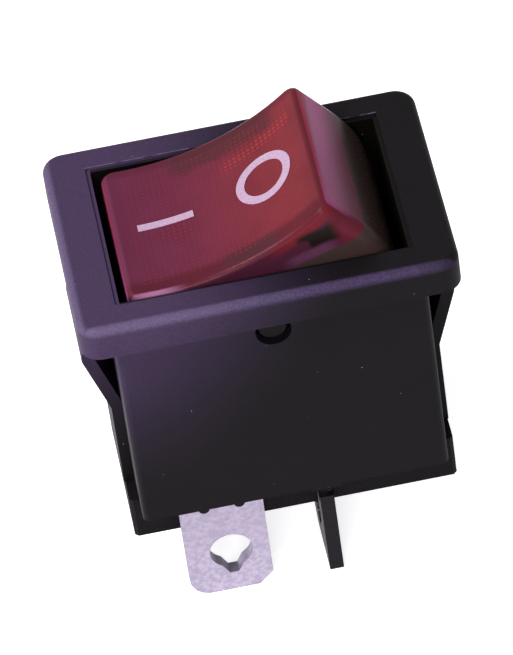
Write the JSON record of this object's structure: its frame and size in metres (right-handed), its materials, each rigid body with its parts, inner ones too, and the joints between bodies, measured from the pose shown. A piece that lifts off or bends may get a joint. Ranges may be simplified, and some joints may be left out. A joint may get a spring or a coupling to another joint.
{
  "type": "panel rocker switch",
  "caption": "Snap-in panel rocker switch: translucent rocker over a small lamp, two sprung contact bars, and four flat tabs under a moulded housing",
  "frame": {"origin": "centre of the bezel's underside, in the plane of the panel's face, at the middle of the panel cut-out", "axes": "+X along the bezel's long side towards the end marked O, +Y to the rear pole, +Z out of the panel"},
  "size_m": [0.021, 0.015, 0.027],
  "materials": {
    "housing_nylon": "satin moulded black nylon",
    "base_nylon": "moulded black nylon",
    "rocker_red": "translucent red polycarbonate with a square grid on its inner face",
    "plunger_brass": "turned brass",
    "spring_steel": "bright spring wire",
    "bar_copper": "stamped copper alloy",
    "contact_silver": "silver alloy rivet",
    "tinned_brass": "stamped brass, tinned",
    "lamp_glass": "clear glass bulb",
    "lead_wire": "tinned wire",
    "resistor_lacquer": "tan lacquer with colour bands"
  },
  "bodies": {
    "switch_body": {"housing": "housing_nylon", "terminal_base": "base_nylon", "common_terminal_front": "tinned_brass", "common_terminal_rear": "tinned_brass", "load_terminal_front": "tinned_brass", "load_terminal_rear": "tinned_brass", "fixed_contact_front": "contact_silver", "fixed_contact_rear": "contact_silver"},
    "rocker": {"rocker": "rocker_red", "neon_glass": "lamp_glass", "lamp_lead_front": "lead_wire", "lamp_lead_rear": "lead_wire", "resistor_body": "resistor_lacquer", "resistor_lead": "lead_wire", "plunger_spring_front": "spring_steel", "plunger_spring_rear": "spring_steel"},
    "plunger_front": {"plunger_front": "plunger_brass"},
    "plunger_rear": {"plunger_rear": "plunger_brass"},
    "contact_bar_front": {"contact_bar_front": "bar_copper", "moving_contact_front": "contact_silver"},
    "contact_bar_rear": {"contact_bar_rear": "bar_copper", "moving_contact_rear": "contact_silver"}
  },
  "joints": [
    {"name": "rocker_tilt", "type": "hinge", "parent": "switch_body", "child": "rocker", "pos_m": [0, 0, -0.0013], "axis": [0, 1, 0], "range_deg": [0, 38]},
    {"name": "contact_bar_front_tilt", "type": "hinge", "parent": "switch_body", "child": "contact_bar_front", "pos_m": [0, -0.0031, -0.00918], "axis": [0, 1, 0], "range_deg": [-18, 0]},
    {"name": "contact_bar_rear_tilt", "type": "hinge", "parent": "switch_body", "child": "contact_bar_rear", "pos_m": [0, 0.0031, -0.00918], "axis": [0, 1, 0], "range_deg": [-18, 0]},
    {"name": "plunger_front_slide", "type": "slide", "parent": "rocker", "child": "plunger_front", "axis": [-0.3256, 0, 0.9455], "range_m": [0, 0.0005], "stiffness_N_per_m": 400, "springref_m": -0.002, "deforming": ["plunger_spring_front"]},
    {"name": "plunger_rear_slide", "type": "slide", "parent": "rocker", "child": "plunger_rear", "axis": [-0.3256, 0, 0.9455], "range_m": [0, 0.0005], "stiffness_N_per_m": 400, "springref_m": -0.002, "deforming": ["plunger_spring_rear"]}
  ],
  "couplings": [
    {"joint": "contact_bar_front_tilt", "follows": "rocker_tilt", "ratio": -0.47368},
    {"joint": "contact_bar_rear_tilt", "follows": "rocker_tilt", "ratio": -0.47368}
  ]
}
